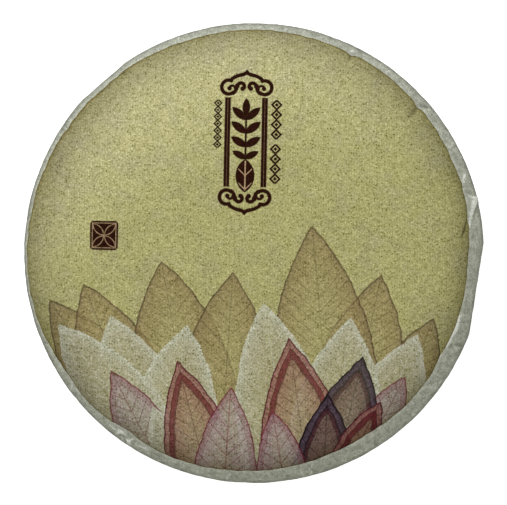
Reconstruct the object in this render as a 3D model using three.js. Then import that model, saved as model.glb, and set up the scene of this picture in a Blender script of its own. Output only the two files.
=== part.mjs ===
// A pu erh tea cake in its cotton-paper wrapper: one pressed disc of tea, shut in a printed sheet
// whose edge is gathered in pleats on the underside. Nothing can be seen inside, so it is one solid.
// Millimetres, +Z up, printed face up, base at z = 0. Angles are counted from +X towards +Y.
import * as THREE from "three";

const { clamp, degToRad, euclideanModulo, smoothstep } = THREE.MathUtils;

// The disc
const cakeRadius = 100;
const crownHeight = 25;
const faceFlatRadius = 46;
const shoulderRadius = 86;
const shoulderHeight = 18.5;
const rimHeight = 9;
const footRadius = 80;
const dimpleRadius = 34;
const dimpleDepth = 8;

// How full its curves are, as shares of the width or height that each one spans
const shoulderFullness = 0.6;
const rimFullness = 0.55;
const dimpleLip = 0.25;
const dimpleFloor = 0.55;

// Places where the edge is pressed straight, with the distance of each from the middle
const edgeFlats = [
  { angle: degToRad(-9), distance: 98 },
  { angle: degToRad(131), distance: 99.25 },
];
const edgeFlatReach = 22;

// Low swellings of the face, where the leaves under the paper lie thicker
const swellHeight = 0.35;
const swellWavelength = 48;
const swellStretch = 0.8;
const swellSlant = 0.5;

// Small tucks that the sheet makes as it turns over the shoulder
const tuckAngles = [-70, -24, 10, 42, 64, 126, 146, 203, 232].map(degToRad);
const tuckWidth = degToRad(5);
const tuckDepth = 0.7;
const tuckInnerRadius = 84;

// The gathered underside
const pleatCount = 24;
const pleatDepth = 1.1;
const pleatDipStart = 1 / 3;
const pleatDipFloor = 2 / 3;
const pleatDipEnd = 5 / 6;
const pleatTwist = degToRad(24);
const pleatUnevenness = degToRad(4);
const pleatUnevenWaves = 5;
const pleatEndRadius = 5;
const pleatFullRadius = 16;
const tailRadius = 11;
const tailHeight = 3.5;

// The mesh: steps round the disc, and along each stretch of its outline
const stepsRound = pleatCount * 6;
const stepsOnFace = 7;
const stepsOnShoulder = 7;
const stepsOnLowerRim = 6;
const stepsOnFoot = 3;
const stepsInDimple = 7;

// Half of the disc's section, from the crown round the rim to the middle of the dimple
function sectionPoints() {
  const faceSlope = (crownHeight - shoulderHeight) / (shoulderRadius - faceFlatRadius);
  const shoulderRun = (cakeRadius - shoulderRadius) * shoulderFullness;
  const upperRim = rimHeight + (shoulderHeight - rimHeight) * rimFullness;
  const lowerRim = rimHeight * (1 - rimFullness);
  const footRun = (cakeRadius + footRadius) / 2;
  const lip = dimpleRadius * (1 - dimpleLip);
  const floor = dimpleRadius * dimpleFloor;
  const section = new THREE.Path();
  section.moveTo(0, crownHeight);
  section.quadraticCurveTo(faceFlatRadius, crownHeight, shoulderRadius, shoulderHeight);
  section.bezierCurveTo(
    shoulderRadius + shoulderRun,
    shoulderHeight - shoulderRun * faceSlope,
    cakeRadius,
    upperRim,
    cakeRadius,
    rimHeight,
  );
  section.bezierCurveTo(cakeRadius, lowerRim, footRun, 0, footRadius, 0);
  section.lineTo(dimpleRadius, 0);
  section.bezierCurveTo(lip, 0, floor, dimpleDepth, 0, dimpleDepth);
  const steps = [stepsOnFace, stepsOnShoulder, stepsOnLowerRim, stepsOnFoot, stepsInDimple];
  const stretches = section.curves.map((curve, index) => curve.getPoints(steps[index]).slice(1));
  return [new THREE.Vector2(0, crownHeight), ...stretches.flat()];
}

// The radius that a point keeps where the edge is pressed straight
function flattenedRadius(radius, angle) {
  let edge = cakeRadius;
  for (const flat of edgeFlats) {
    const facing = Math.cos(angle - flat.angle);
    if (facing > 0) {
      edge = Math.min(edge, flat.distance / facing);
    }
  }
  const share = smoothstep(radius, cakeRadius - edgeFlatReach, cakeRadius);
  return radius * (1 - share * (1 - edge / cakeRadius));
}

function swell(x, y) {
  const turn = (2 * Math.PI) / swellWavelength;
  return swellHeight * Math.sin(x * turn) * Math.sin((y * swellStretch + x * swellSlant) * turn);
}

function tuckDip(radius, angle) {
  let dip = 0;
  for (const tuckAngle of tuckAngles) {
    const away = Math.abs(euclideanModulo(angle - tuckAngle + Math.PI, 2 * Math.PI) - Math.PI);
    dip = Math.max(dip, 1 - away / tuckWidth);
  }
  return tuckDepth * dip * smoothstep(radius, tuckInnerRadius, cakeRadius);
}

// How far a pleat's fold lies under the pleat beside it: a slow slope down and a quick one back
function pleatDip(radius, angle) {
  const across = euclideanModulo((angle * pleatCount) / (2 * Math.PI), 1);
  const down = (across - pleatDipStart) / (pleatDipFloor - pleatDipStart);
  const back = (pleatDipEnd - across) / (pleatDipEnd - pleatDipFloor);
  return pleatDepth * clamp(Math.min(down, back), 0, 1) * smoothstep(radius, pleatEndRadius, pleatFullRadius);
}

// The pleats wind round as they run inwards, some wider than others
function pleatTurn(radius, angle) {
  const turn = pleatTwist + pleatUnevenness * Math.sin(angle * pleatUnevenWaves);
  return turn * (1 - radius / cakeRadius);
}

function tailDrop(radius) {
  return tailHeight * (1 - smoothstep(radius, 0, tailRadius));
}

// Moves each point of the plain disc to where the wrapped cake has it
function shapeWrapper(geometry) {
  const { position, normal } = geometry.attributes;
  const point = new THREE.Vector3();
  const outward = new THREE.Vector3();
  for (let index = 0; index < position.count; index++) {
    point.fromBufferAttribute(position, index);
    outward.fromBufferAttribute(normal, index);
    const radius = Math.hypot(point.x, point.y);
    let angle = Math.atan2(point.y, point.x);
    if (point.z < rimHeight) {
      const below = smoothstep(rimHeight - point.z, 0, rimHeight);
      const share = radius > footRadius ? below : 1;
      point.addScaledVector(outward, -pleatDip(radius, angle) * share);
      point.z -= tailDrop(radius);
      angle += pleatTurn(radius, angle);
    } else {
      point.addScaledVector(outward, -tuckDip(radius, angle) * smoothstep(point.z, rimHeight, shoulderHeight));
      point.z += swell(point.x, point.y) * (1 - smoothstep(radius, faceFlatRadius, cakeRadius));
    }
    const moved = flattenedRadius(Math.hypot(point.x, point.y), angle);
    position.setXYZ(index, moved * Math.cos(angle), moved * Math.sin(angle), point.z);
  }
  geometry.computeBoundingBox();
  const { min, max } = geometry.boundingBox;
  geometry.translate(-(min.x + max.x) / 2, -(min.y + max.y) / 2, -min.z);
  geometry.computeVertexNormals();
}

function wrappedTeaCake() {
  const geometry = new THREE.LatheGeometry(sectionPoints().reverse(), stepsRound);
  geometry.rotateX(Math.PI / 2);
  shapeWrapper(geometry);
  const paper = new THREE.MeshStandardMaterial({ color: 0xb2ae7d, roughness: 0.85, metalness: 0 });
  const mesh = new THREE.Mesh(geometry, paper);
  mesh.name = "wrapped_tea_cake";
  return mesh;
}

const group = new THREE.Group();
group.add(wrappedTeaCake());

export default group;
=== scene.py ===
import math

import bpy
import numpy as np
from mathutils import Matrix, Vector, noise


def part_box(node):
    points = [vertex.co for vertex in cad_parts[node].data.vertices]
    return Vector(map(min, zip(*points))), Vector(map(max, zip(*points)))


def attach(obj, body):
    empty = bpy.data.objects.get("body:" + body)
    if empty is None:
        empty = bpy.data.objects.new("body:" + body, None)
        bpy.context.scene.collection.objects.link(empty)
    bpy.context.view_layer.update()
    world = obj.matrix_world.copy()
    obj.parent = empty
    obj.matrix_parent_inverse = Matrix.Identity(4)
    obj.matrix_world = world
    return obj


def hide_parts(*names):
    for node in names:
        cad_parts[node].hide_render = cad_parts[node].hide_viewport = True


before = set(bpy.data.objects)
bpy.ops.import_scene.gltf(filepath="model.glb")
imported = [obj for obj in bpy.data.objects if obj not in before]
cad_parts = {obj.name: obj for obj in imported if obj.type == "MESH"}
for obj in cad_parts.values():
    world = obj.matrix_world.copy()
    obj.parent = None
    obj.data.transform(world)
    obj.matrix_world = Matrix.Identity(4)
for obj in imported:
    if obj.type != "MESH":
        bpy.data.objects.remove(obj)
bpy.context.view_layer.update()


# Camera
# The cake is photographed from straight above with a long lens, so its round outline, that of the rim,
# fills the frame and almost nothing of its sides is seen. The top of the print is towards +Y.
MM = 0.001
PHOTO_WIDTH_PX = 507
PHOTO_HEIGHT_PX = 505
CAKE_WIDTH_PX = 460
CAKE_CENTRE_PX = (254.0, 253.0)
OUTLINE_HEIGHT = 9 * MM
CAMERA_HEIGHT = 1500 * MM
SENSOR_WIDTH_MM = 36

cake_low, cake_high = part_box("wrapped_tea_cake")
cake_width = cake_high[1] - cake_low[1]
metres_per_px = cake_width / CAKE_WIDTH_PX

camera_data = bpy.data.cameras.new("camera")
camera_data.sensor_width = SENSOR_WIDTH_MM
camera_data.lens = SENSOR_WIDTH_MM * (CAMERA_HEIGHT - OUTLINE_HEIGHT) / (PHOTO_WIDTH_PX * metres_per_px)
camera = bpy.data.objects.new("camera", camera_data)
camera.location = (
    (PHOTO_WIDTH_PX / 2 - CAKE_CENTRE_PX[0]) * metres_per_px,
    (CAKE_CENTRE_PX[1] - PHOTO_HEIGHT_PX / 2) * metres_per_px,
    CAMERA_HEIGHT,
)
bpy.context.scene.collection.objects.link(camera)
bpy.context.scene.camera = camera
bpy.context.scene.view_settings.view_transform = "Standard"


# Floor
# A pale table top of white laminate, pressed smooth and matt. It is lit so evenly that it comes out
# white and hardly takes a shadow.
FLOOR_SIZE = 3000 * MM
FLOOR_COLOUR = "f4f4f2"
FLOOR_ROUGHNESS = 0.6
FLOOR_GLOW = 0.85


def colour(hex_value):
    """The linear RGBA colour of an sRGB hex value."""
    channels = [int(hex_value[i:i + 2], 16) / 255 for i in (0, 2, 4)]
    return [c / 12.92 if c <= 0.04045 else ((c + 0.055) / 1.055) ** 2.4 for c in channels] + [1.0]


def add(tree, kind, links=None, **settings):
    """Adds a node, applies its settings, and sets or links its inputs by name or number."""
    made = tree.nodes.new(kind)
    for name, value in settings.items():
        setattr(made, name, value)
    for socket, value in (links or {}).items():
        if isinstance(value, bpy.types.NodeSocket):
            tree.links.new(value, made.inputs[socket])
        else:
            made.inputs[socket].default_value = value
    return made


def new_material(name):
    """An empty node material with its tree and its output."""
    made = bpy.data.materials.new(name)
    made.use_nodes = True
    made.node_tree.nodes.clear()
    return made, made.node_tree, add(made.node_tree, "ShaderNodeOutputMaterial")


floor_mesh = bpy.data.meshes.new("floor")
half_floor = FLOOR_SIZE / 2
floor_corners = [(-half_floor, -half_floor, 0), (half_floor, -half_floor, 0),
                 (half_floor, half_floor, 0), (-half_floor, half_floor, 0)]
floor_mesh.from_pydata(floor_corners, [], [(0, 1, 2, 3)])
floor = bpy.data.objects.new("floor", floor_mesh)
bpy.context.scene.collection.objects.link(floor)

floor_material, tree, output = new_material("white laminate")
shader = add(tree, "ShaderNodeBsdfPrincipled", {
    "Base Color": colour(FLOOR_COLOUR),
    "Roughness": FLOOR_ROUGHNESS,
    "Emission Color": colour(FLOOR_COLOUR),
    "Emission Strength": FLOOR_GLOW,
})
tree.links.new(shader.outputs[0], output.inputs[0])
floor_mesh.materials.append(floor_material)


# Light
# One large soft lamp, slightly cool, stands behind the top of the print and a little to the left, and the
# white room fills the rest, so the upper rim is bright and the lower right rim is in soft shade.
KEY_PLACE = (-0.34, 0.97, 1.05)
KEY_SIZE = 1.0
KEY_POWER = 13.8
KEY_TINT = (0.98, 1.0, 1.08)
ROOM_COLOUR = "ffffff"
ROOM_STRENGTH = 0.535

key_data = bpy.data.lights.new("key", "AREA")
key_data.shape = "DISK"
key_data.size = KEY_SIZE
key_data.energy = KEY_POWER
key_data.color = KEY_TINT
key = bpy.data.objects.new("key", key_data)
key.location = KEY_PLACE
key.rotation_euler = (-Vector(KEY_PLACE)).to_track_quat("-Z", "Y").to_euler()
bpy.context.scene.collection.objects.link(key)

world = bpy.data.worlds.new("room")
world.use_nodes = True
room_light = world.node_tree.nodes["Background"].inputs
room_light["Color"].default_value = colour(ROOM_COLOUR)
room_light["Strength"].default_value = ROOM_STRENGTH
bpy.context.scene.world = world


# Wrapper
# A thin square of cotton paper is laid printed side out over a disc of pressed tea, folded down over
# its edge and gathered by hand into pleats on the back, where the end is twisted and tucked into the
# dimple. The mesh is the sheet as it lies, from the crown round the rim to the tucked end.
CROWN_HEIGHT = 25.0
FACE_FLAT_RADIUS = 46.0
SHOULDER_RADIUS = 86.0
SHOULDER_HEIGHT = 18.5
RIM_HEIGHT = 9.0
FOOT_RADIUS = 80.0
DIMPLE_RADIUS = 34.0
DIMPLE_DEPTH = 8.0
SHOULDER_FULLNESS = 0.6
RIM_FULLNESS = 0.55
DIMPLE_LIP = 0.25
DIMPLE_FLOOR = 0.55

STEPS_ROUND = 1200
STEPS_ON_FACE = 48
STEPS_ON_SHOULDER = 34
STEPS_ON_LOWER_RIM = 14
STEPS_ON_FOOT = 20
STEPS_IN_DIMPLE = 18
# Rings from here to the next entry take every so many of the steps round: the rim has the finest mesh
RING_STRIDES = [(0, 8), (20, 4), (46, 2), (47, 1), (97, 2), (117, 4)]

cake_radius = cake_width / 2 / MM


def ease(value, low, high):
    """A smooth step from 0 at low to 1 at high."""
    share = np.clip((value - low) / (high - low), 0, 1)
    return share * share * (3 - 2 * share)


def bezier(corners, steps):
    """Points along a Bezier curve of any degree, without its first one."""
    share = np.linspace(0, 1, steps + 1)[1:, None]
    layer = [np.repeat([np.array(corner, float)], steps, axis=0) for corner in corners]
    while len(layer) > 1:
        layer = [near + (far - near) * share for near, far in zip(layer, layer[1:])]
    return layer[0]


face_slope = (CROWN_HEIGHT - SHOULDER_HEIGHT) / (SHOULDER_RADIUS - FACE_FLAT_RADIUS)
shoulder_run = (cake_radius - SHOULDER_RADIUS) * SHOULDER_FULLNESS
upper_rim = RIM_HEIGHT + (SHOULDER_HEIGHT - RIM_HEIGHT) * RIM_FULLNESS
section = np.concatenate([
    [[0, CROWN_HEIGHT]],
    bezier([(0, CROWN_HEIGHT), (FACE_FLAT_RADIUS, CROWN_HEIGHT), (SHOULDER_RADIUS, SHOULDER_HEIGHT)],
           STEPS_ON_FACE),
    bezier([(SHOULDER_RADIUS, SHOULDER_HEIGHT),
            (SHOULDER_RADIUS + shoulder_run, SHOULDER_HEIGHT - shoulder_run * face_slope),
            (cake_radius, upper_rim), (cake_radius, RIM_HEIGHT)], STEPS_ON_SHOULDER),
    bezier([(cake_radius, RIM_HEIGHT), (cake_radius, RIM_HEIGHT * (1 - RIM_FULLNESS)),
            ((cake_radius + FOOT_RADIUS) / 2, 0), (FOOT_RADIUS, 0)], STEPS_ON_LOWER_RIM),
    bezier([(FOOT_RADIUS, 0), (DIMPLE_RADIUS, 0)], STEPS_ON_FOOT),
    bezier([(DIMPLE_RADIUS, 0), (DIMPLE_RADIUS * (1 - DIMPLE_LIP), 0),
            (DIMPLE_RADIUS * DIMPLE_FLOOR, DIMPLE_DEPTH), (0, DIMPLE_DEPTH)], STEPS_IN_DIMPLE),
])
along = np.gradient(section, axis=0)
along /= np.linalg.norm(along, axis=1)[:, None]
sheet_distance = np.concatenate([[0], np.cumsum(np.linalg.norm(np.diff(section, axis=0), axis=1))])

angle = np.linspace(0, 2 * math.pi, STEPS_ROUND, endpoint=False)[None, :]
radius = section[:, :1] + 0 * angle
height = section[:, 1:] + 0 * angle
angle = angle + 0 * radius
out_r = -along[:, 1:] + 0 * angle
out_z = along[:, :1] + 0 * angle
under = np.arange(len(section))[:, None] > STEPS_ON_FACE + STEPS_ON_SHOULDER

# The pleats: each fold slopes down under its neighbour and steps back up, and winds inwards
PLEAT_COUNT = 24
PLEAT_DEPTH = 1.1
PLEAT_DIP_START = 0.2
PLEAT_DIP_FLOOR = 0.7
PLEAT_DIP_END = 0.8
PLEAT_TWIST = math.radians(24)
PLEAT_UNEVENNESS = math.radians(4)
PLEAT_UNEVEN_WAVES = 5
PLEAT_END_RADIUS = 5.0
PLEAT_FULL_RADIUS = 16.0
TAIL_RADIUS = 11.0
TAIL_HEIGHT = 3.5

across = (angle * PLEAT_COUNT / (2 * math.pi)) % 1
dip = np.minimum((across - PLEAT_DIP_START) / (PLEAT_DIP_FLOOR - PLEAT_DIP_START),
                 (PLEAT_DIP_END - across) / (PLEAT_DIP_END - PLEAT_DIP_FLOOR))
pleat_start = np.where(radius > FOOT_RADIUS, ease(RIM_HEIGHT - height, 0, RIM_HEIGHT), 1)
pleat = PLEAT_DEPTH * np.clip(dip, 0, 1) * ease(radius, PLEAT_END_RADIUS, PLEAT_FULL_RADIUS) * pleat_start
tail = TAIL_HEIGHT * (1 - ease(radius, 0, TAIL_RADIUS))
turn = (PLEAT_TWIST + PLEAT_UNEVENNESS * np.sin(angle * PLEAT_UNEVEN_WAVES)) * (1 - radius / cake_radius)

# Creases that the paper takes at the shoulder and rim, where it turns over. Each runs from one angle
# and radius to another, and has a height and a width: ridges stand up, valleys have a height below 0
CREASES = [
    (64.0, 97.0, 63.6, 92.5, -0.45, 0.6), (64.9, 97.4, 63.2, 97.0, 0.45, 0.8),
    (42.0, 97.4, 41.0, 87.0, -0.45, 1.5), (39.6, 98.8, 41.8, 96.6, -0.5, 1.0),
    (39.2, 97.0, 38.4, 91.0, 0.3, 0.9), (20.9, 98.0, 17.9, 94.7, 0.6, 0.9),
    (15.2, 95.4, 13.4, 99.6, 0.5, 0.6), (14.2, 99.6, 6.6, 93.0, 0.65, 1.0),
    (14.6, 98.6, 11.4, 96.6, 0.35, 1.3), (16.2, 96.2, 14.9, 97.9, -0.5, 0.6),
    (12.6, 99.6, 8.4, 96.0, -0.4, 0.8), (9.9, 94.6, 3.2, 89.6, -0.8, 0.7),
    (8.0, 94.4, 2.4, 90.6, 0.4, 0.6), (-16.0, 94.4, -26.8, 92.5, 0.75, 1.0),
    (-24.0, 99.6, -24.5, 95.0, -0.45, 1.0), (-36.0, 99.4, -38.0, 95.0, 0.3, 0.9),
    (-44.8, 99.6, -46.0, 96.0, 0.3, 0.7), (-58.0, 99.6, -57.0, 95.5, -0.35, 0.9),
    (-75.2, 99.4, -75.8, 95.2, 0.35, 0.6), (-77.2, 99.4, -78.2, 95.0, 0.35, 0.6),
    (-81.0, 99.6, -82.0, 96.0, -0.3, 0.8), (-97.0, 99.6, -96.0, 95.5, 0.3, 0.8),
    (-110.0, 99.4, -108.0, 96.4, -0.3, 0.7), (-117.6, 96.4, -122.0, 97.6, 0.4, 0.6),
    (-122.6, 98.6, -125.2, 97.1, 0.65, 0.55), (-122.8, 95.8, -123.8, 98.6, 0.55, 0.5),
    (-125.0, 96.2, -127.8, 96.9, 0.65, 0.7), (-126.4, 96.2, -127.4, 99.2, 0.5, 0.5),
    (-127.4, 97.6, -130.4, 97.0, 0.5, 0.55), (-124.4, 99.4, -126.0, 98.2, 0.35, 0.5),
    (-123.8, 97.2, -127.0, 98.2, -0.45, 0.6), (-143.0, 99.4, -144.0, 96.6, 0.3, 0.7),
    (-157.0, 99.4, -156.0, 97.0, -0.35, 0.8), (-170.0, 99.6, -169.0, 97.4, 0.3, 0.7),
    (171.0, 99.6, 170.0, 97.6, -0.3, 0.7), (146.0, 99.4, 146.5, 95.0, -0.4, 0.7),
    (126.0, 99.0, 126.0, 95.0, -0.4, 0.8), (109.0, 99.4, 110.0, 96.4, 0.3, 0.7),
    (83.0, 99.4, 82.0, 96.4, -0.3, 0.8), (53.0, 99.4, 54.0, 96.0, 0.3, 0.8),
    (29.0, 99.4, 28.0, 95.5, 0.3, 0.9),
]
CREASE_TAPER = 0.5
# Tucks are broad dips that run down the shoulder
TUCK_ANGLES = (-70, -24, 10, 42, 64, 126, 146, 203, 232)
TUCK_HALF_WIDTH = 2.5
TUCK_DEPTH = 0.5
TUCK_INNER_RADIUS = 84.0


def hump(angle, middle, spread):
    """A soft hump of 1 at one angle round the cake, with its spread, both in degrees."""
    away = (np.degrees(angle) - middle + 180) % 360 - 180
    return np.exp(-(away / spread) ** 2)


plane_x = radius * np.cos(angle)
plane_y = radius * np.sin(angle)
crease = np.zeros_like(radius)
for start_angle, start_radius, end_angle, end_radius, crease_height, width in CREASES:
    start_turn = math.radians(start_angle)
    end_turn = math.radians(end_angle)
    start = np.array([math.cos(start_turn), math.sin(start_turn)]) * start_radius
    end = np.array([math.cos(end_turn), math.sin(end_turn)]) * end_radius
    length = np.linalg.norm(end - start)
    run = (end - start) / length
    share = ((plane_x - start[0]) * run[0] + (plane_y - start[1]) * run[1]) / length
    aside = ((plane_y - start[1]) * run[0] - (plane_x - start[0]) * run[1]) / width
    taper = np.sin(math.pi * np.clip(share, 0, 1)) ** CREASE_TAPER
    crease += crease_height * taper * np.exp(-aside ** 2)
tuck = np.zeros_like(radius)
for tuck_angle in TUCK_ANGLES:
    tuck = np.maximum(tuck, hump(angle, tuck_angle, TUCK_HALF_WIDTH))
tuck *= TUCK_DEPTH * ease(radius, TUCK_INNER_RADIUS, cake_radius)
tuck *= ease(height, RIM_HEIGHT, SHOULDER_HEIGHT)

# Unevenness: leaves under the face lift it in low swellings and lumps, the paper crumples finely on the
# shoulder, less on the rim, where it is pulled tight, and falls into folds on the lower side
SWELL_HEIGHT = 0.35
SWELL_WAVELENGTH = 48.0
SWELL_STRETCH = 0.8
SWELL_SLANT = 0.5
LEAF_LUMP_HEIGHT = 0.25
LEAF_LUMP_WIDTH = 9.0
CRUMPLE_HEIGHT = 0.45
CRUMPLE_WIDTH = 3.6
CRUMPLE_INNER_RADIUS = SHOULDER_RADIUS + 4
CRUMPLE_FULL_RADIUS = cake_radius - 1
TIGHT_TOP = 14.0
TIGHT_SHARE = 0.6
RIM_FOLD_DEPTH = 0.9
RIM_FOLD_WIDTH = 5.0
RIM_FOLD_STRETCH = 0.3
RIM_FOLD_TOP = 9.8

swell_turn = 2 * math.pi / SWELL_WAVELENGTH
swell = SWELL_HEIGHT * np.sin(plane_x * swell_turn)
swell *= np.sin((plane_y * SWELL_STRETCH + plane_x * SWELL_SLANT) * swell_turn)
places = np.stack([plane_x, plane_y, height], axis=-1).reshape(-1, 3)
lumps = np.array([noise.noise(place) for place in places / LEAF_LUMP_WIDTH]).reshape(radius.shape)
crumples = np.array([noise.noise(place) for place in places / CRUMPLE_WIDTH]).reshape(radius.shape)
rim_share = ease(radius, CRUMPLE_INNER_RADIUS, CRUMPLE_FULL_RADIUS)
rim_share *= 1 - TIGHT_SHARE * ease(-height, -TIGHT_TOP, -RIM_HEIGHT)
fold_places = np.stack([np.cos(angle) * cake_radius, np.sin(angle) * cake_radius, height * RIM_FOLD_STRETCH],
                       axis=-1).reshape(-1, 3)
rim_fold = np.abs([noise.noise(place) for place in fold_places / RIM_FOLD_WIDTH]).reshape(radius.shape)
rim_fold *= RIM_FOLD_DEPTH * ease(RIM_FOLD_TOP - height, 0, RIM_FOLD_TOP / 2)
rim_fold *= ease(radius, DIMPLE_RADIUS, FOOT_RADIUS)
face_share = 1 - ease(radius, FACE_FLAT_RADIUS, cake_radius)

lump = LEAF_LUMP_HEIGHT * lumps * (1 - rim_share)
crumple = CRUMPLE_HEIGHT * np.abs(crumples) * rim_share
lift = np.where(under, -pleat, crease - tuck + lump) - rim_fold - crumple
radius = radius + out_r * lift
height = height + out_z * lift + np.where(under, -tail, swell * face_share)
angle = angle + np.where(under, turn, 0)

# The edge is pressed straight in two places
EDGE_FLATS = [(math.radians(-9), 98.0), (math.radians(131), 99.25)]
EDGE_FLAT_REACH = 22.0
LEAST_FACING = 0.01

edge = np.full_like(radius, cake_radius)
for flat_angle, distance in EDGE_FLATS:
    facing = np.maximum(np.cos(angle - flat_angle), LEAST_FACING)
    edge = np.minimum(edge, distance / facing)
edge_share = ease(radius, cake_radius - EDGE_FLAT_REACH, cake_radius)
radius = radius * (1 - edge_share * (1 - edge / cake_radius))

# Where the print ends: it is a disc that was laid a little to the upper left, so the bare margin is
# narrow there and wide at the lower right. Tucks pull its edge in or out: angle, pull and spread
PRINT_RADIUS = 95.6
PRINT_CENTRE = (-2.75, 1.3)
PRINT_PULLS = [
    (32, 1.0, 26), (128, -1.5, 20), (190, 0.35, 16), (-42, 0.8, 12), (12, 0.5, 3), (150, -0.5, 12),
    (-30, -0.4, 12), (64, -0.6, 1.0), (42, -0.5, 0.8), (126, 0.4, 1.2), (-29, -0.7, 1.5), (-126, -0.6, 3),
    (56, 0.6, 14), (105, -0.7, 8), (129, 0.6, 7), (-9, 1.4, 7), (18, 0.5, 5), (-57, -0.6, 16),
    (-148, -1.1, 7), (-124, -1.2, 8), (168, -0.4, 10), (-14, 0.5, 5),
]
PRINT_WIGGLE = 0.35
PRINT_WIGGLE_WIDTH = 5.0

print_radius = PRINT_RADIUS + PRINT_CENTRE[0] * np.cos(angle) + PRINT_CENTRE[1] * np.sin(angle)
rim_places = [Vector((math.cos(a), math.sin(a), 0)) * cake_radius / PRINT_WIGGLE_WIDTH for a in angle[0]]
print_radius += PRINT_WIGGLE * np.array([noise.noise(place) for place in rim_places])
for pull_angle, pull, spread in PRINT_PULLS:
    print_radius += pull * hump(angle, pull_angle, spread)
upper = slice(0, STEPS_ON_FACE + STEPS_ON_SHOULDER + 1)
print_reach = np.interp(print_radius, section[upper, 0], sheet_distance[upper])
past_print = sheet_distance[:, None] - print_reach

# The points of the mesh, and the place of each on the flat sheet, where the print is drawn
points = np.stack([radius * np.cos(angle), radius * np.sin(angle), height], axis=-1) * MM
points[..., 2] = np.maximum(points[..., 2], 0)
sheet = np.stack([np.cos(angle), np.sin(angle), 0 * angle], axis=-1) * sheet_distance[:, None, None]

# Each ring keeps only its share of the steps round, and the first and the last one are single points
kept = []
strides = []
for ring in range(len(section)):
    stride = [every for first, every in RING_STRIDES if first <= ring][-1]
    strides.append(stride)
    single = ring in (0, len(section) - 1)
    kept.append(ring * STEPS_ROUND + np.arange(0, 1 if single else STEPS_ROUND, stride))
starts = np.concatenate([[0], np.cumsum([len(ring) for ring in kept])]).tolist()
kept = np.concatenate(kept)

faces = []
for ring in range(1, len(section) - 2):
    inner, outer, beyond = starts[ring:ring + 3]
    inner_count = outer - inner
    outer_count = beyond - outer
    for step in range(min(inner_count, outer_count)):
        inner_next = inner + (step + 1) % inner_count
        outer_next = outer + (step + 1) % outer_count
        if inner_count == outer_count:
            faces.append((inner + step, outer + step, outer_next, inner_next))
        elif inner_count < outer_count:
            outer_next = outer + (2 * step + 2) % outer_count
            faces.append((inner + step, outer + 2 * step, outer + 2 * step + 1))
            faces.append((inner + step, outer + 2 * step + 1, outer_next, inner_next))
        else:
            inner_next = inner + (2 * step + 2) % inner_count
            faces.append((inner + 2 * step, outer + step, inner + 2 * step + 1))
            faces.append((inner + 2 * step + 1, outer + step, outer_next, inner_next))
middles = [(0, starts[1], starts[2], 1), (starts[-2], starts[-3], starts[-2], -1)]
for middle, ring_start, ring_end, way in middles:
    around = np.arange(ring_end - ring_start)
    beside = np.roll(around, -way)
    faces += [(middle, ring_start + a, ring_start + b) for a, b in zip(around.tolist(), beside.tolist())]

wrapper_mesh = bpy.data.meshes.new("tea_cake_wrapper")
wrapper_mesh.from_pydata(points.reshape(-1, 3)[kept].tolist(), [], faces)
wrapper_mesh.attributes.new("sheet", "FLOAT_VECTOR", "POINT")
wrapper_mesh.attributes["sheet"].data.foreach_set("vector", sheet.reshape(-1, 3)[kept].ravel())
wrapper_mesh.shade_smooth()
wrapper = bpy.data.objects.new("tea_cake_wrapper", wrapper_mesh)
bpy.context.scene.collection.objects.link(wrapper)
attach(wrapper, "root")
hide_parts("wrapped_tea_cake")


# Ground of the print
# The sheet is thin cotton paper, left uncoated and printed all over with a flat olive-yellow ground that
# imitates speckled mulberry paper. To the eye it is matt, with soft greyish clouds. Painted light makes it
# paler and cooler towards the upper left and further from the middle, and it is yellower towards the lower
# right.
# Each pair is the ground away from the painted light and in it
CLEAR_DIM_AND_LIT = ("aba66c", "beb884")
CLOUDY_DIM_AND_LIT = ("a5a072", "b7b188")
CLOUD_SIZE = 11.0
CLOUD_NOISE = (0.47, 0.72)
PAINTED_LIGHT_WAY = (-0.3, 0.8, 0)
PAINTED_LIGHT_RING = 0.5
PAINTED_LIGHT_START = 50.0
PAINTED_LIGHT_END = 118.0

wrapper_material, tree, output = new_material("printed cotton paper")
solid_place = add(tree, "ShaderNodeVectorMath", {
    0: add(tree, "ShaderNodeTexCoord").outputs["Object"], "Scale": 1 / MM}, operation="SCALE").outputs[0]
sheet_place = add(tree, "ShaderNodeAttribute", attribute_name="sheet").outputs["Vector"]

# Painted light: the ground grows paler towards the upper left, where the lamp stands, and further from the
# middle
toward_painted_light = add(tree, "ShaderNodeVectorMath", {
    0: sheet_place, 1: PAINTED_LIGHT_WAY}, operation="DOT_PRODUCT").outputs["Value"]
from_crown = add(tree, "ShaderNodeVectorMath", {0: sheet_place}, operation="LENGTH").outputs["Value"]
toward_painted_light = add(tree, "ShaderNodeMath", {
    0: from_crown, 1: PAINTED_LIGHT_RING, 2: toward_painted_light}, operation="MULTIPLY_ADD").outputs[0]
painted_light_share = add(tree, "ShaderNodeMapRange", {
    0: toward_painted_light, 1: PAINTED_LIGHT_START, 2: PAINTED_LIGHT_END}).outputs[0]
clear_ground = add(tree, "ShaderNodeMix", {
    0: painted_light_share, 6: colour(CLEAR_DIM_AND_LIT[0]), 7: colour(CLEAR_DIM_AND_LIT[1])}, data_type="RGBA").outputs[2]
cloudy_ground = add(tree, "ShaderNodeMix", {
    0: painted_light_share, 6: colour(CLOUDY_DIM_AND_LIT[0]), 7: colour(CLOUDY_DIM_AND_LIT[1])}, data_type="RGBA").outputs[2]
cloud = add(tree, "ShaderNodeTexNoise", {
    "Vector": solid_place, "Scale": 1 / CLOUD_SIZE, "Detail": 5, "Roughness": 0.65}).outputs[0]
cloud_share = add(tree, "ShaderNodeMapRange", {0: cloud, 1: CLOUD_NOISE[0], 2: CLOUD_NOISE[1]}).outputs[0]
ground = add(tree, "ShaderNodeMix", {
    0: cloud_share, 6: clear_ground, 7: cloudy_ground}, data_type="RGBA").outputs[2]


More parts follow.
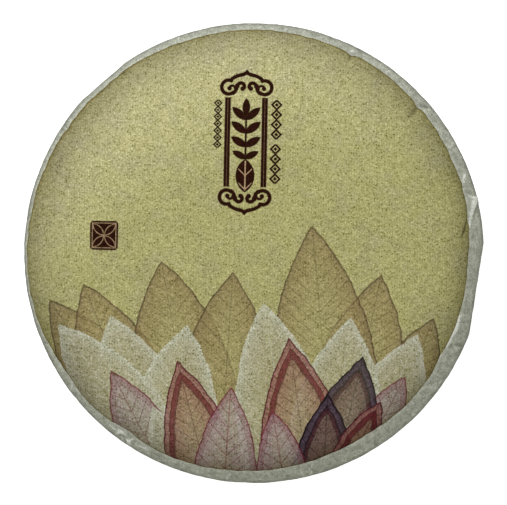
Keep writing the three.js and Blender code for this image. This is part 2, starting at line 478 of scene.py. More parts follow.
# Leaves of the print
# Below the panel the sheet carries a bed of big overlapping tea leaves in thin translucent washes, a
# generic ornament. Each is the lens between two arcs, with a dark outline, a band and fine veins.
LEAF_DEPTH = 20.0
VEIN_SPACING = 3.0
VEIN_WIDTH = 0.45
VEIN_CORE = 0.15
VEIN_STRENGTH = 0.6
WASH_WOBBLE = 1.3
WASH_WOBBLE_SIZE = 7.0
# Stops of a wash from its outline inwards: distance in millimetres, colour and opacity
WASHES = {
    "tan": [(0.1, "57462c", 0.9), (0.6, "5f4f33", 0.85), (1.0, "88764f", 0.8), (4, "938355", 0.8),
            (10, "998c5c", 0.72), (20, "a19864", 0.55)],
    "mist": [(0.1, "c3c3ac", 0.7), (0.9, "bcbca2", 0.88), (3, "aeab8c", 0.88), (8, "aaa580", 0.85),
             (20, "a59e72", 0.75)],
    "crimson": [(0.1, "45131a", 0.95), (0.5, "5a1c22", 0.95), (0.8, "8e5a54", 0.85), (2.2, "966b5a", 0.85),
                (2.4, "561a1e", 0.92), (3, "70292b", 0.92), (4.6, "692826", 0.9), (4.8, "461618", 0.9),
                (5.2, "936f57", 0.85), (10, "9a7f60", 0.8), (20, "a39068", 0.65)],
    "plum": [(0.1, "140b10", 0.95), (0.6, "1a1015", 0.95), (0.9, "463740", 0.95), (2.6, "4f4048", 0.92),
             (2.8, "20141a", 0.92), (3.4, "371e26", 0.9), (4.6, "562c2f", 0.88), (4.8, "28161a", 0.88),
             (5.2, "6c554c", 0.85), (9, "775f52", 0.8), (20, "8a7660", 0.65)],
    "mauve": [(0.1, "6a2030", 0.9), (0.5, "702a38", 0.85), (0.8, "957374", 0.8), (2.6, "9a837e", 0.8),
              (2.8, "82595e", 0.75), (3.1, "a5968d", 0.8), (10, "a89f8c", 0.78), (20, "a79e7e", 0.65)],
}
# Wash, tip across and up the sheet, lean to the right in degrees, half length and half width
LEAVES = [
    ("tan", -89, -20, -34, 50, 17), ("tan", -74, -13, -22, 56, 20), ("tan", 78, -28, 22, 48, 17),
    ("tan", -40, -3, -10, 62, 23), ("tan", 55, -9, 12, 58, 21), ("tan", -9, -8, 4, 58, 21),
    ("tan", 25, 12, -5, 68, 23),
    ("mist", -62, -27, -17, 50, 20), ("mist", 71, -35, 22, 46, 17), ("mist", 4, -21, -9, 56, 20),
    ("mist", -29, -31, 8, 50, 20), ("mist", 42, -28, 8, 52, 20), ("mist", -85, -31, -38, 47, 16),
    ("mauve", -62, -51, -27, 44, 14), ("mauve", 66, -53, 28, 38, 12), ("mist", -44, -66, -22, 30, 10),
    ("crimson", -33, -47, -14, 48, 16), ("crimson", 15, -37, -8, 60, 20), ("mauve", -10, -58, 4, 42, 14),
    ("plum", 47, -45, 13, 54, 19), ("plum", 32, -61, 3, 36, 13), ("mauve", 8, -68, -9, 30, 11),
    ("crimson", 55, -64, 26, 26, 9),
]


def new_group(name, inputs, outputs):
    """A node group with the given sockets, each a name and a kind, and its two ends."""
    made = bpy.data.node_groups.new(name, "ShaderNodeTree")
    for sockets, way in ((inputs, "INPUT"), (outputs, "OUTPUT")):
        for socket, kind in sockets.items():
            made.interface.new_socket(socket, in_out=way, socket_type="NodeSocket" + kind)
    return made, add(made, "NodeGroupInput").outputs, add(made, "NodeGroupOutput").inputs


# The depth of a place inside a leaf, and how far it is on a vein
leaf_shape, given, result = new_group("leaf shape", {
    "Place": "Vector", "Middle": "Vector", "Turn": "Vector", "Arc middle": "Vector", "Arc radius": "Float",
}, {"Depth": "Float", "Vein": "Float"})
local = add(leaf_shape, "ShaderNodeMapping", {
    "Vector": given["Place"], "Location": given["Middle"], "Rotation": given["Turn"]}, vector_type="TEXTURE")
local = add(leaf_shape, "ShaderNodeSeparateXYZ", {0: local.outputs[0]}).outputs
from_rib = add(leaf_shape, "ShaderNodeMath", {0: local["X"]}, operation="ABSOLUTE").outputs[0]
folded = add(leaf_shape, "ShaderNodeCombineXYZ", {"X": from_rib, "Y": local["Y"]}).outputs[0]
from_arc = add(leaf_shape, "ShaderNodeVectorMath", {
    0: folded, 1: given["Arc middle"]}, operation="DISTANCE")
depth = add(leaf_shape, "ShaderNodeMath", {
    0: given["Arc radius"], 1: from_arc.outputs["Value"]}, operation="SUBTRACT").outputs[0]
slant = add(leaf_shape, "ShaderNodeMath", {0: local["Y"], 1: from_rib}, operation="SUBTRACT").outputs[0]
from_side_vein = add(leaf_shape, "ShaderNodeMath", {
    0: slant, 1: VEIN_SPACING}, operation="PINGPONG").outputs[0]
from_vein = add(leaf_shape, "ShaderNodeMath", {
    0: from_rib, 1: from_side_vein}, operation="MINIMUM").outputs[0]
vein = add(leaf_shape, "ShaderNodeMapRange", {
    0: from_vein, 1: VEIN_CORE, 2: VEIN_WIDTH, 3: 1, 4: 0}, interpolation_type="SMOOTHSTEP").outputs[0]
leaf_shape.links.new(depth, result["Depth"])
leaf_shape.links.new(vein, result["Vein"])


def leaf(tree, place, tip, lean, half_length, half_width):
    """Adds a leaf shape by its tip, its lean in degrees and its half sizes."""
    turn = math.radians(-lean)
    middle = (tip[0] + half_length * math.sin(turn), tip[1] - half_length * math.cos(turn), 0)
    arc_radius = (half_length ** 2 + half_width ** 2) / (2 * half_width)
    return add(tree, "ShaderNodeGroup", {
        "Place": place, "Middle": middle, "Turn": (0, 0, turn),
        "Arc middle": (half_width - arc_radius, 0, 0), "Arc radius": arc_radius,
    }, node_tree=leaf_shape).outputs


# One group for each wash lays it over the colour below it
wash_groups = {}
for wash, stops in WASHES.items():
    group, given, result = new_group(wash + " wash", {
        "Colour": "Color", "Depth": "Float", "Vein": "Float"}, {"Colour": "Color"})
    share = add(group, "ShaderNodeMath", {
        0: given["Depth"], 1: 1 / LEAF_DEPTH}, operation="MULTIPLY").outputs[0]
    ramp = add(group, "ShaderNodeValToRGB", {0: share})
    ramp.color_ramp.elements[0].color = colour(stops[0][1])[:3] + [0]
    ramp.color_ramp.elements.remove(ramp.color_ramp.elements[1])
    for distance, tint, opacity in stops:
        stop = ramp.color_ramp.elements.new(distance / LEAF_DEPTH)
        stop.color = colour(tint)[:3] + [opacity]
    vein_share = add(group, "ShaderNodeMath", {
        0: given["Vein"], 1: VEIN_STRENGTH}, operation="MULTIPLY").outputs[0]
    veined = add(group, "ShaderNodeMix", {
        0: vein_share, 6: ramp.outputs["Color"], 7: colour(stops[1][1])}, data_type="RGBA").outputs[2]
    washed = add(group, "ShaderNodeMix", {
        0: ramp.outputs["Alpha"], 6: given["Colour"], 7: veined}, data_type="RGBA").outputs[2]
    group.links.new(washed, result["Colour"])
    wash_groups[wash] = group

wobble_noise = add(tree, "ShaderNodeTexNoise", {
    "Vector": sheet_place, "Scale": 1 / WASH_WOBBLE_SIZE, "Detail": 5, "Roughness": 0.6}).outputs[0]
wobble = add(tree, "ShaderNodeMapRange", {
    0: wobble_noise, 1: 0, 2: 1, 3: -WASH_WOBBLE, 4: WASH_WOBBLE}).outputs[0]
for wash, across, up, lean, half_length, half_width in LEAVES:
    shape = leaf(tree, sheet_place, (across, up), lean, half_length, half_width)
    depth = add(tree, "ShaderNodeMath", {0: shape["Depth"], 1: wobble}, operation="ADD").outputs[0]
    ground = add(tree, "ShaderNodeGroup", {
        "Colour": ground, "Depth": depth, "Vein": shape["Vein"]}, node_tree=wash_groups[wash]).outputs[0]


# Shade at the edge of the print
# The print darkens to brown over its last two centimetres and ends in a hairline of heavier ink. The
# darkening is partly a darker printed edge and partly painted shade where the shoulder rolls away from the
# light. The shade reaches further in at the upper left, and less far at the right and the lower left.
SHADE_WIDTH = 24.0
# Distance from the edge of the print in millimetres, and the tone that the print is multiplied by
SHADE_STOPS = [(24, "ffffff"), (14, "f5f5f6"), (7.5, "e0e0e2"), (3, "c9c7c5"), (1.2, "bab8b2"),
               (0.6, "b1ac9e"), (0.35, "90876e")]
# Angle, share by which the distance from the edge is stretched there, and spread in degrees
SHADE_CHANGES = [(146, -0.58, 32), (12, 0.9, 20), (180, 0.2, 12), (-130, 0.6, 16), (-28, 0.6, 14)]
SHADE_CHANGE_DEPTH = 10.0


def put_on_sheet(name, values):
    """Puts one value on each point of the sheet under a name, for its material to read."""
    wrapper_mesh.attributes.new(name, "FLOAT", "POINT")
    wrapper_mesh.attributes[name].data.foreach_set("value", values.ravel()[kept])


shade_stretch = np.zeros_like(radius)
for change_angle, change, spread in SHADE_CHANGES:
    shade_stretch += change * hump(angle, change_angle, spread)
shade_stretch *= np.exp(np.minimum(past_print, 0) / SHADE_CHANGE_DEPTH)
put_on_sheet("shade_reach", past_print * (1 + shade_stretch))
shade_reach = add(tree, "ShaderNodeAttribute", attribute_name="shade_reach").outputs["Fac"]
shade_place = add(tree, "ShaderNodeMath", {
    0: shade_reach, 1: 1 / SHADE_WIDTH, 2: 1}, operation="MULTIPLY_ADD").outputs[0]
shade = add(tree, "ShaderNodeValToRGB", {0: shade_place})
for stop, (distance, tone) in zip(list(shade.color_ramp.elements), SHADE_STOPS):
    stop.position = 1 - distance / SHADE_WIDTH
    stop.color = colour(tone)
for distance, tone in SHADE_STOPS[2:]:
    shade.color_ramp.elements.new(1 - distance / SHADE_WIDTH).color = colour(tone)
ground = add(tree, "ShaderNodeMix", {
    0: 1, 6: ground, 7: shade.outputs["Color"]}, data_type="RGBA", blend_type="MULTIPLY").outputs[2]


# Panel of the print
# A traditional upright panel stands above the leaves: a double bar on each side and a cloud-head scroll
# at each end, drawn in dark brown ink. Inside it are a tea sprig and a leaf-shaped stamp, and beads of
# small lozenges stand on both sides. It is the same above and below its middle, so one scroll does.
PRINT_TILT = math.radians(-1.15)
PANEL_MIDDLE = (-3.6, 47.8, 0)
INK_HALF_WIDTH = 0.83
BAR_MIDDLE = 8.0
BAR_HALF_WIDTH = 1.27
BAR_HALF_LENGTH = 19.4
# The gap in a bar is a hairline that the ink nearly closes, so only its soft edges show
BAR_GAP_HALF_WIDTH = 0.0
# Strokes of a quarter of the frame: middle across and up, radius, first and last angle, half width
SCROLL_STROKES = [
    (2.07, 31.95, 2.5, -144, -96, INK_HALF_WIDTH),
    (0.82, 20.25, 9.15, 52, 84, INK_HALF_WIDTH),
    (7.8, 23.85, 3.03, -130, 112, INK_HALF_WIDTH),
    (8.0, 24.2, 3.7, 172, 235, INK_HALF_WIDTH),
    (6.3, 23.2, 1.3, 0, 190, 0.6),
    (7.45, 23.3, 0, 0, 0, 1.0),
    (2.5, 24.3, 1.45, -5, 205, INK_HALF_WIDTH),
    (1.75, 23.3, 0, 0, 0, 1.05),
    (0, 31.05, 0, 0, 0, 0.5),
]
# Leaves of the sprig, mirrored to both sides of its stem: tip across and up, lean, half length and width
SPRIG_LEAVES = [(0, 19.2, 0, 4.1, 1.7), (6.1, 15.2, 48, 4.3, 1.7), (6.4, 8.9, 53, 4.3, 1.75),
                (6.4, 2.3, 58, 4.2, 1.7), (5.7, -3.9, 62, 3.6, 1.5)]
STEM_MIDDLE = (0, 3.2, 0)
STEM_HALF_SIZE = (0.45, 9.2, 1)
STAMP_TIP = (0, -7.2)
STAMP_HALF_SIZE = (7.3, 4.1)
STAMP_RIM = 0.7
STAMP_VEIN = 0.5
# Bead rows: middle across, top, half width of a bead, spacing and number of beads. Half the width of a
# bead's line and its dot are shares of its half width
BEAD_ROWS = [(-12.2, 18.3, 1.5, 3.0, 7), (13.1, 18.6, 2.0, 4.3, 4), (12.9, -0.6, 2.0, 4.3, 4)]
BEAD_HALF_LINE = 0.3
BEAD_DOT = 0.45

# The depth of a place inside a stroke, which is an arc with round ends
stroke_shape, given, result = new_group("scroll stroke", {
    "Place": "Vector", "Middle": "Vector", "Turn": "Vector", "Radius": "Float", "Half sweep": "Float",
    "Half width": "Float",
}, {"Depth": "Float"})
local = add(stroke_shape, "ShaderNodeMapping", {
    "Vector": given["Place"], "Location": given["Middle"], "Rotation": given["Turn"]}, vector_type="TEXTURE")
ends = add(stroke_shape, "ShaderNodeSeparateXYZ", {0: local.outputs[0]}).outputs
bearing = add(stroke_shape, "ShaderNodeMath", {0: ends["Y"], 1: ends["X"]}, operation="ARCTAN2").outputs[0]
other_end = add(stroke_shape, "ShaderNodeMath", {
    0: given["Half sweep"], 1: -1}, operation="MULTIPLY").outputs[0]
bearing = add(stroke_shape, "ShaderNodeClamp", {
    0: bearing, 1: other_end, 2: given["Half sweep"]}).outputs[0]
nearest = add(stroke_shape, "ShaderNodeCombineXYZ", {
    "X": add(stroke_shape, "ShaderNodeMath", {0: bearing}, operation="COSINE").outputs[0],
    "Y": add(stroke_shape, "ShaderNodeMath", {0: bearing}, operation="SINE").outputs[0]}).outputs[0]
nearest = add(stroke_shape, "ShaderNodeVectorMath", {
    0: nearest, "Scale": given["Radius"]}, operation="SCALE")
away = add(stroke_shape, "ShaderNodeVectorMath", {
    0: local.outputs[0], 1: nearest.outputs[0]}, operation="DISTANCE").outputs["Value"]
stroke_depth = add(stroke_shape, "ShaderNodeMath", {
    0: given["Half width"], 1: away}, operation="SUBTRACT")
stroke_shape.links.new(stroke_depth.outputs[0], result["Depth"])

# The depth of a place inside a box
box_shape, given, result = new_group("box shape", {
    "Place": "Vector", "Middle": "Vector", "Half size": "Vector"}, {"Depth": "Float"})
offset = add(box_shape, "ShaderNodeVectorMath", {
    0: given["Place"], 1: given["Middle"]}, operation="SUBTRACT")
offset = add(box_shape, "ShaderNodeVectorMath", {0: offset.outputs[0]}, operation="ABSOLUTE")
inside = add(box_shape, "ShaderNodeVectorMath", {
    0: given["Half size"], 1: offset.outputs[0]}, operation="SUBTRACT")
inside = add(box_shape, "ShaderNodeSeparateXYZ", {0: inside.outputs[0]}).outputs
box_depth = add(box_shape, "ShaderNodeMath", {
    0: inside["X"], 1: inside["Y"]}, operation="MINIMUM").outputs[0]
box_shape.links.new(box_depth, result["Depth"])

# The panel's own frame, and the same mirrored to one side or to one quarter
panel_place = add(tree, "ShaderNodeMapping", {
    "Vector": sheet_place, "Location": PANEL_MIDDLE, "Rotation": (0, 0, PRINT_TILT),
}, vector_type="TEXTURE").outputs[0]
quarter_place = add(tree, "ShaderNodeVectorMath", {0: panel_place}, operation="ABSOLUTE").outputs[0]
split_place = add(tree, "ShaderNodeSeparateXYZ", {0: panel_place}).outputs
split_quarter = add(tree, "ShaderNodeSeparateXYZ", {0: quarter_place}).outputs
half_place = add(tree, "ShaderNodeCombineXYZ", {"X": split_quarter["X"], "Y": split_place["Y"]}).outputs[0]

# Depths inside what is inked, and inside the lines left pale in it
inked = [add(tree, "ShaderNodeGroup", {
    "Place": quarter_place, "Middle": (BAR_MIDDLE, 0, 0),
    "Half size": (BAR_HALF_WIDTH, BAR_HALF_LENGTH, 1),
}, node_tree=box_shape).outputs[0]]
pale = [add(tree, "ShaderNodeGroup", {
    "Place": quarter_place, "Middle": (BAR_MIDDLE, 0, 0),
    "Half size": (BAR_GAP_HALF_WIDTH, BAR_HALF_LENGTH, 1),
}, node_tree=box_shape).outputs[0]]
for stroke_x, stroke_y, stroke_radius, first, last, half_width in SCROLL_STROKES:
    inked.append(add(tree, "ShaderNodeGroup", {
        "Place": quarter_place, "Middle": (stroke_x, stroke_y, 0),
        "Turn": (0, 0, math.radians((first + last) / 2)), "Radius": stroke_radius,
        "Half sweep": math.radians((last - first) / 2), "Half width": half_width,
    }, node_tree=stroke_shape).outputs[0])
for tip_x, tip_y, lean, half_length, half_width in SPRIG_LEAVES:
    inked.append(leaf(tree, half_place, (tip_x, tip_y), lean, half_length, half_width)["Depth"])
inked.append(add(tree, "ShaderNodeGroup", {
    "Place": half_place, "Middle": STEM_MIDDLE, "Half size": STEM_HALF_SIZE,
}, node_tree=box_shape).outputs[0])
stamp = leaf(tree, half_place, STAMP_TIP, 0, *STAMP_HALF_SIZE)
inked.append(stamp["Depth"])
stamp_line = add(tree, "ShaderNodeMath", {0: stamp["Vein"], 1: STAMP_VEIN}, operation="SUBTRACT").outputs[0]
stamp_inside = add(tree, "ShaderNodeMath", {0: stamp["Depth"], 1: STAMP_RIM}, operation="SUBTRACT").outputs[0]
pale.append(add(tree, "ShaderNodeMath", {0: stamp_line, 1: stamp_inside}, operation="MINIMUM").outputs[0])
for row_x, row_top, bead_size, spacing, count in BEAD_ROWS:
    down = add(tree, "ShaderNodeMath", {0: row_top, 1: split_place["Y"]}, operation="SUBTRACT").outputs[0]
    from_gap = add(tree, "ShaderNodeMath", {0: down, 1: spacing / 2}, operation="PINGPONG").outputs[0]
    aside = add(tree, "ShaderNodeMath", {0: split_place["X"], 1: row_x}, operation="SUBTRACT").outputs[0]
    aside = add(tree, "ShaderNodeMath", {0: aside}, operation="ABSOLUTE").outputs[0]
    reach = add(tree, "ShaderNodeMath", {0: aside, 1: from_gap}, operation="SUBTRACT").outputs[0]
    reach = add(tree, "ShaderNodeMath", {0: reach, 1: spacing / 2}, operation="ADD").outputs[0]
    off_ring = add(tree, "ShaderNodeMath", {0: reach, 1: bead_size}, operation="SUBTRACT").outputs[0]
    off_ring = add(tree, "ShaderNodeMath", {0: off_ring}, operation="ABSOLUTE").outputs[0]
    ring = add(tree, "ShaderNodeMath", {
        0: BEAD_HALF_LINE * bead_size, 1: off_ring}, operation="SUBTRACT").outputs[0]
    dot = add(tree, "ShaderNodeMath", {0: BEAD_DOT * bead_size, 1: reach}, operation="SUBTRACT").outputs[0]
    bead = add(tree, "ShaderNodeMath", {0: ring, 1: dot}, operation="MAXIMUM").outputs[0]
    row = add(tree, "ShaderNodeGroup", {
        "Place": panel_place, "Middle": (row_x, row_top - spacing * count / 2, 0),
        "Half size": (spacing, spacing * count / 2, 1)}, node_tree=box_shape).outputs[0]
    inked.append(add(tree, "ShaderNodeMath", {0: bead, 1: row}, operation="MINIMUM").outputs[0])


# Seal of the print
# A square seal is stamped at the left in the same ink, with worn corners and an uneven edge. A plain
# frame and a four-petal figure are left pale in it.
SEAL_MIDDLE = (-64.8, 7.6, 0)
SEAL_HALF_SIZE = (6.1, 6.3, 1)
SEAL_LINE = 0.15
SEAL_CORNER_REACH = 8.1
SEAL_WEAR = 0.22
SEAL_FRAME = 0.95
PETAL_TIP = (5.0, 5.0)
PETAL_LEAN = 45
PETAL_HALF_SIZE = (3.4, 1.35)

seal_place = add(tree, "ShaderNodeMapping", {
    "Vector": sheet_place, "Location": SEAL_MIDDLE, "Rotation": (0, 0, PRINT_TILT),
}, vector_type="TEXTURE").outputs[0]
seal_place = add(tree, "ShaderNodeVectorMath", {0: seal_place}, operation="ABSOLUTE").outputs[0]
seal = add(tree, "ShaderNodeGroup", {
    "Place": seal_place, "Half size": SEAL_HALF_SIZE}, node_tree=box_shape).outputs[0]
from_middle = add(tree, "ShaderNodeVectorMath", {0: seal_place}, operation="LENGTH").outputs["Value"]
corner = add(tree, "ShaderNodeMath", {
    0: SEAL_CORNER_REACH, 1: from_middle}, operation="SUBTRACT").outputs[0]
worn_seal = add(tree, "ShaderNodeMath", {0: seal, 1: corner}, operation="MINIMUM").outputs[0]
inked.append(add(tree, "ShaderNodeMath", {
    0: wobble, 1: SEAL_WEAR, 2: worn_seal}, operation="MULTIPLY_ADD").outputs[0])
petal = leaf(tree, seal_place, PETAL_TIP, PETAL_LEAN, *PETAL_HALF_SIZE)
for depth_in, line_middle in ((seal, SEAL_FRAME), (petal["Depth"], 0)):
    off_line = add(tree, "ShaderNodeMath", {0: depth_in, 1: line_middle}, operation="SUBTRACT").outputs[0]
    off_line = add(tree, "ShaderNodeMath", {0: off_line}, operation="ABSOLUTE").outputs[0]
    pale.append(add(tree, "ShaderNodeMath", {0: SEAL_LINE, 1: off_line}, operation="SUBTRACT").outputs[0])


# Ink
# The panel and the seal are printed in dark brown ink that soaks into the paper, so its edges are a
# little soft and uneven, and it looks dead matt. The lines left in it are nearly the paper's own tan.
INK_COLOUR = "2b150d"
INK_LINE_COLOUR = "a78b69"
INK_SOFTNESS = 0.15
INK_WOBBLE = 0.06
INK_WOBBLE_SIZE = 5 / 6

ink_noise = add(tree, "ShaderNodeTexNoise", {
    "Vector": sheet_place, "Scale": 1 / INK_WOBBLE_SIZE, "Detail": 2}).outputs[0]
ink_wobble = add(tree, "ShaderNodeMapRange", {0: ink_noise, 3: -INK_WOBBLE, 4: INK_WOBBLE}).outputs[0]
shares = []
for depths in (inked, pale):
    deepest = depths[0]
    for depth in depths[1:]:
        deepest = add(tree, "ShaderNodeMath", {0: deepest, 1: depth}, operation="MAXIMUM").outputs[0]
    deepest = add(tree, "ShaderNodeMath", {0: deepest, 1: ink_wobble}, operation="ADD").outputs[0]
    shares.append(add(tree, "ShaderNodeMapRange", {
        0: deepest, 1: -INK_SOFTNESS, 2: INK_SOFTNESS}).outputs[0])
ink_share, line_share = shares
ink = add(tree, "ShaderNodeMix", {
    0: line_share, 6: colour(INK_COLOUR), 7: colour(INK_LINE_COLOUR)}, data_type="RGBA").outputs[2]
ground = add(tree, "ShaderNodeMix", {0: ink_share, 6: ground, 7: ink}, data_type="RGBA").outputs[2]


# Flecks of the print
# The ground imitates the flecks and short fibres of handmade paper, dark and pale, over the whole print.
# The real ones are about a tenth of a millimetre wide, too fine to show, so they are drawn coarser.
FLECK_SIZE = 0.66
FLECK_NOISE = (0.2, 0.8)
FLECK_TONES = (-0.5, 0.52)
# Round spots stand among the flecks: spacing, the reach of full and of no tone as shares of it, and tones
SPOT_SPACING = 1.1
SPOT_REACH = (0.2, 0.45)
SPOT_TONES = (-0.5, 0.42)
# A fleck takes or gives this much of each channel, so that a dark one is as yellow as the ground
FLECK_CHANNELS = (1.0, 1.0, 1.35)

fleck = add(tree, "ShaderNodeTexNoise", {
    "Vector": solid_place, "Scale": 1 / FLECK_SIZE, "Detail": 2, "Roughness": 0.6}).outputs[0]
fleck_shift = add(tree, "ShaderNodeMapRange", {
    0: fleck, 1: FLECK_NOISE[0], 2: FLECK_NOISE[1], 3: FLECK_TONES[0], 4: FLECK_TONES[1]}).outputs[0]
spot = add(tree, "ShaderNodeTexVoronoi", {
    "Vector": sheet_place, "Scale": 1 / SPOT_SPACING}, voronoi_dimensions="2D").outputs
spot_pick = add(tree, "ShaderNodeSeparateXYZ", {0: spot["Color"]}).outputs["X"]
spot_shift = add(tree, "ShaderNodeMapRange", {0: spot_pick, 3: SPOT_TONES[0], 4: SPOT_TONES[1]}).outputs[0]
spot_shift = add(tree, "ShaderNodeMapRange", {
    0: spot["Distance"], 1: SPOT_REACH[0], 2: SPOT_REACH[1], 3: spot_shift, 4: 0}).outputs[0]
fleck_shift = add(tree, "ShaderNodeMath", {0: fleck_shift, 1: spot_shift}, operation="ADD").outputs[0]
fleck_tone = add(tree, "ShaderNodeVectorMath", {
    0: fleck_shift, 1: FLECK_CHANNELS, 2: (1, 1, 1)}, operation="MULTIPLY_ADD").outputs[0]
ground = add(tree, "ShaderNodeVectorMath", {0: ground, 1: fleck_tone}, operation="MULTIPLY").outputs[0]


# Bare paper
# Past the edge of the print the sheet is bare: thin grey-white cotton tissue, a little cloudy, that the
# dark tea behind dulls. Ridges carry a painted highlight, valleys and the folds between the pleats carry
# painted shade, and painted shade dulls the side below the shoulder.
EDGE_SOFTNESS = 0.08
TISSUE_COLOURS = ("8f9180", "b7b9a7")
TISSUE_PATCH_SIZE = 2.6
TISSUE_NOISE = (0.37, 0.66)
TISSUE_FLECKS = 0.68
# Next to the print a painted highlight makes the paper a little whiter
BORDER_HIGHLIGHT_WIDTH = 1.9
BORDER_HIGHLIGHT_TONE = 1.18
# Painted highlights lie along the ridges as broken lines, faded in patches by noise
RIDGE_HIGHLIGHT_COLOUR = "e2e3d6"
RIDGE_HIGHLIGHT_STRENGTH = 0.9
RIDGE_RANGE = (0.12, 0.72)
RIDGE_BREAK_SIZE = 0.9
RIDGE_BREAK_NOISE = (0.34, 0.52)
CREASE_FULL_HEIGHT = 0.65
# Painted shade in the valleys of the creases and in the folds between the pleats
VALLEY_START = 0.25
VALLEY_SHADE_TONE = 0.42
FOLD_START = 0.7
FOLD_SHADE_TONE = 0.6
# Painted shade on the side: height up the side in millimetres and the tone that the bare paper is multiplied
# by
SIDE_SHADE_TONES = [(0, "dadada"), (3.5, "c8c8c8"), (8.3, "acacac"), (10.4, "9e9e9e"), (13.4, "f6f6f6")]
SIDE_SHADE_REACH = 20.0

tissue_noise = add(tree, "ShaderNodeTexNoise", {
    "Vector": solid_place, "Scale": 1 / TISSUE_PATCH_SIZE, "Detail": 5, "Roughness": 0.8}).outputs[0]
tissue_share = add(tree, "ShaderNodeMapRange", {
    0: tissue_noise, 1: TISSUE_NOISE[0], 2: TISSUE_NOISE[1]}).outputs[0]
tissue = add(tree, "ShaderNodeMix", {
    0: tissue_share, 6: colour(TISSUE_COLOURS[0]), 7: colour(TISSUE_COLOURS[1])}, data_type="RGBA").outputs[2]
put_on_sheet("past_print", past_print)
past_print_edge = add(tree, "ShaderNodeAttribute", attribute_name="past_print").outputs["Fac"]
# Painted highlight along the edge of the print
border_highlight = add(tree, "ShaderNodeMapRange", {
    0: past_print_edge, 1: 0, 2: BORDER_HIGHLIGHT_WIDTH, 3: BORDER_HIGHLIGHT_TONE, 4: 1}).outputs[0]
tissue_tone = add(tree, "ShaderNodeMath", {
    0: fleck_shift, 1: TISSUE_FLECKS, 2: border_highlight}, operation="MULTIPLY_ADD").outputs[0]
tissue = add(tree, "ShaderNodeVectorMath", {0: tissue, "Scale": tissue_tone}, operation="SCALE").outputs[0]

# Painted highlight on the ridges of the creases
put_on_sheet("ridge", np.clip(crease / CREASE_FULL_HEIGHT, 0, 1))
ridge = add(tree, "ShaderNodeAttribute", attribute_name="ridge").outputs["Fac"]
ridge_break = add(tree, "ShaderNodeTexNoise", {
    "Vector": solid_place, "Scale": 1 / RIDGE_BREAK_SIZE, "Detail": 3, "Roughness": 0.8}).outputs[0]
ridge_break = add(tree, "ShaderNodeMapRange", {
    0: ridge_break, 1: RIDGE_BREAK_NOISE[0], 2: RIDGE_BREAK_NOISE[1]}).outputs[0]
ridge = add(tree, "ShaderNodeMath", {0: ridge, 1: ridge_break}, operation="MULTIPLY").outputs[0]
ridge_highlight_share = add(tree, "ShaderNodeMapRange", {
    0: ridge, 1: RIDGE_RANGE[0], 2: RIDGE_RANGE[1], 3: 0, 4: RIDGE_HIGHLIGHT_STRENGTH,
}, interpolation_type="SMOOTHSTEP").outputs[0]
tissue = add(tree, "ShaderNodeMix", {
    0: ridge_highlight_share, 6: tissue, 7: colour(RIDGE_HIGHLIGHT_COLOUR)}, data_type="RGBA").outputs[2]

# Painted shade in the folds between the pleats
put_on_sheet("fold", np.where(under, ease(pleat / PLEAT_DEPTH, FOLD_START, 1), 0))
fold = add(tree, "ShaderNodeAttribute", attribute_name="fold").outputs["Fac"]
fold_shade = add(tree, "ShaderNodeMapRange", {0: fold, 3: 1, 4: FOLD_SHADE_TONE}).outputs[0]
tissue = add(tree, "ShaderNodeVectorMath", {0: tissue, "Scale": fold_shade}, operation="SCALE").outputs[0]
# Painted shade darkens the side below the shoulder, most just above its widest line
height_up = add(tree, "ShaderNodeSeparateXYZ", {0: solid_place}).outputs["Z"]
height_share = add(tree, "ShaderNodeMath", {
    0: height_up, 1: 1 / SIDE_SHADE_REACH}, operation="MULTIPLY").outputs[0]
side_shade = add(tree, "ShaderNodeValToRGB", {0: height_share})
for stop, (tone_height, tone) in zip(list(side_shade.color_ramp.elements), SIDE_SHADE_TONES):
    stop.position = tone_height / SIDE_SHADE_REACH
    stop.color = colour(tone)
for tone_height, tone in SIDE_SHADE_TONES[2:]:
    side_shade.color_ramp.elements.new(tone_height / SIDE_SHADE_REACH).color = colour(tone)
tissue = add(tree, "ShaderNodeMix", {
    0: 1, 6: tissue, 7: side_shade.outputs["Color"]}, data_type="RGBA", blend_type="MULTIPLY").outputs[2]

bare_share = add(tree, "ShaderNodeMapRange", {
    0: past_print_edge, 1: -EDGE_SOFTNESS, 2: EDGE_SOFTNESS}).outputs[0]
surface = add(tree, "ShaderNodeMix", {0: bare_share, 6: ground, 7: tissue}, data_type="RGBA").outputs[2]
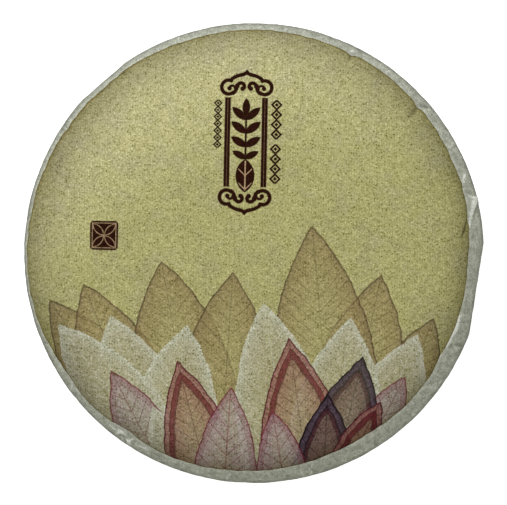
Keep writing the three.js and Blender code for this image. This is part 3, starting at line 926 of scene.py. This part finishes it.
# Painted shade in the valleys of the creases
put_on_sheet("valley", np.clip(-crease / CREASE_FULL_HEIGHT, 0, 1))
valley = add(tree, "ShaderNodeAttribute", attribute_name="valley").outputs["Fac"]
valley_shade = add(tree, "ShaderNodeMapRange", {
    0: valley, 1: VALLEY_START, 2: 1, 3: 1, 4: VALLEY_SHADE_TONE}).outputs[0]
surface = add(tree, "ShaderNodeVectorMath", {0: surface, "Scale": valley_shade}, operation="SCALE").outputs[0]


# Surface of the paper
# Uncoated cotton paper is matt with a faint tooth of fibres, which gives the eye a soft grain and no
# highlight. The fibres are too fine to show, so the grain is drawn at over a millimetre. Ink fills it, so
# inked paper is a little smoother, but the ink swallows what would shine.
GRAIN_SIZE = 1.2
GRAIN_NOISE = (0.3, 0.7)
GRAIN_DEPTH = 0.08 * MM
GRAIN_STRENGTH = 0.6
PAPER_ROUGHNESS = (0.68, 0.86)
PAPER_GLOSS = 0.1
INK_SMOOTHING = 0.15

grain = add(tree, "ShaderNodeTexNoise", {
    "Vector": solid_place, "Scale": 1 / GRAIN_SIZE, "Detail": 4, "Roughness": 0.6}).outputs[0]
tooth = add(tree, "ShaderNodeBump", {
    "Height": grain, "Strength": GRAIN_STRENGTH, "Distance": GRAIN_DEPTH}).outputs[0]
paper_roughness = add(tree, "ShaderNodeMapRange", {
    0: grain, 1: GRAIN_NOISE[0], 2: GRAIN_NOISE[1], 3: PAPER_ROUGHNESS[0], 4: PAPER_ROUGHNESS[1]}).outputs[0]
inked_roughness = add(tree, "ShaderNodeMath", {
    0: ink_share, 1: -INK_SMOOTHING, 2: paper_roughness}, operation="MULTIPLY_ADD").outputs[0]
paper_gloss = add(tree, "ShaderNodeMapRange", {0: ink_share, 3: PAPER_GLOSS, 4: 0}).outputs[0]
shader = add(tree, "ShaderNodeBsdfPrincipled", {
    "Base Color": surface, "Roughness": inked_roughness, "Specular IOR Level": paper_gloss, "Normal": tooth})
tree.links.new(shader.outputs[0], output.inputs[0])
wrapper_mesh.materials.append(wrapper_material)
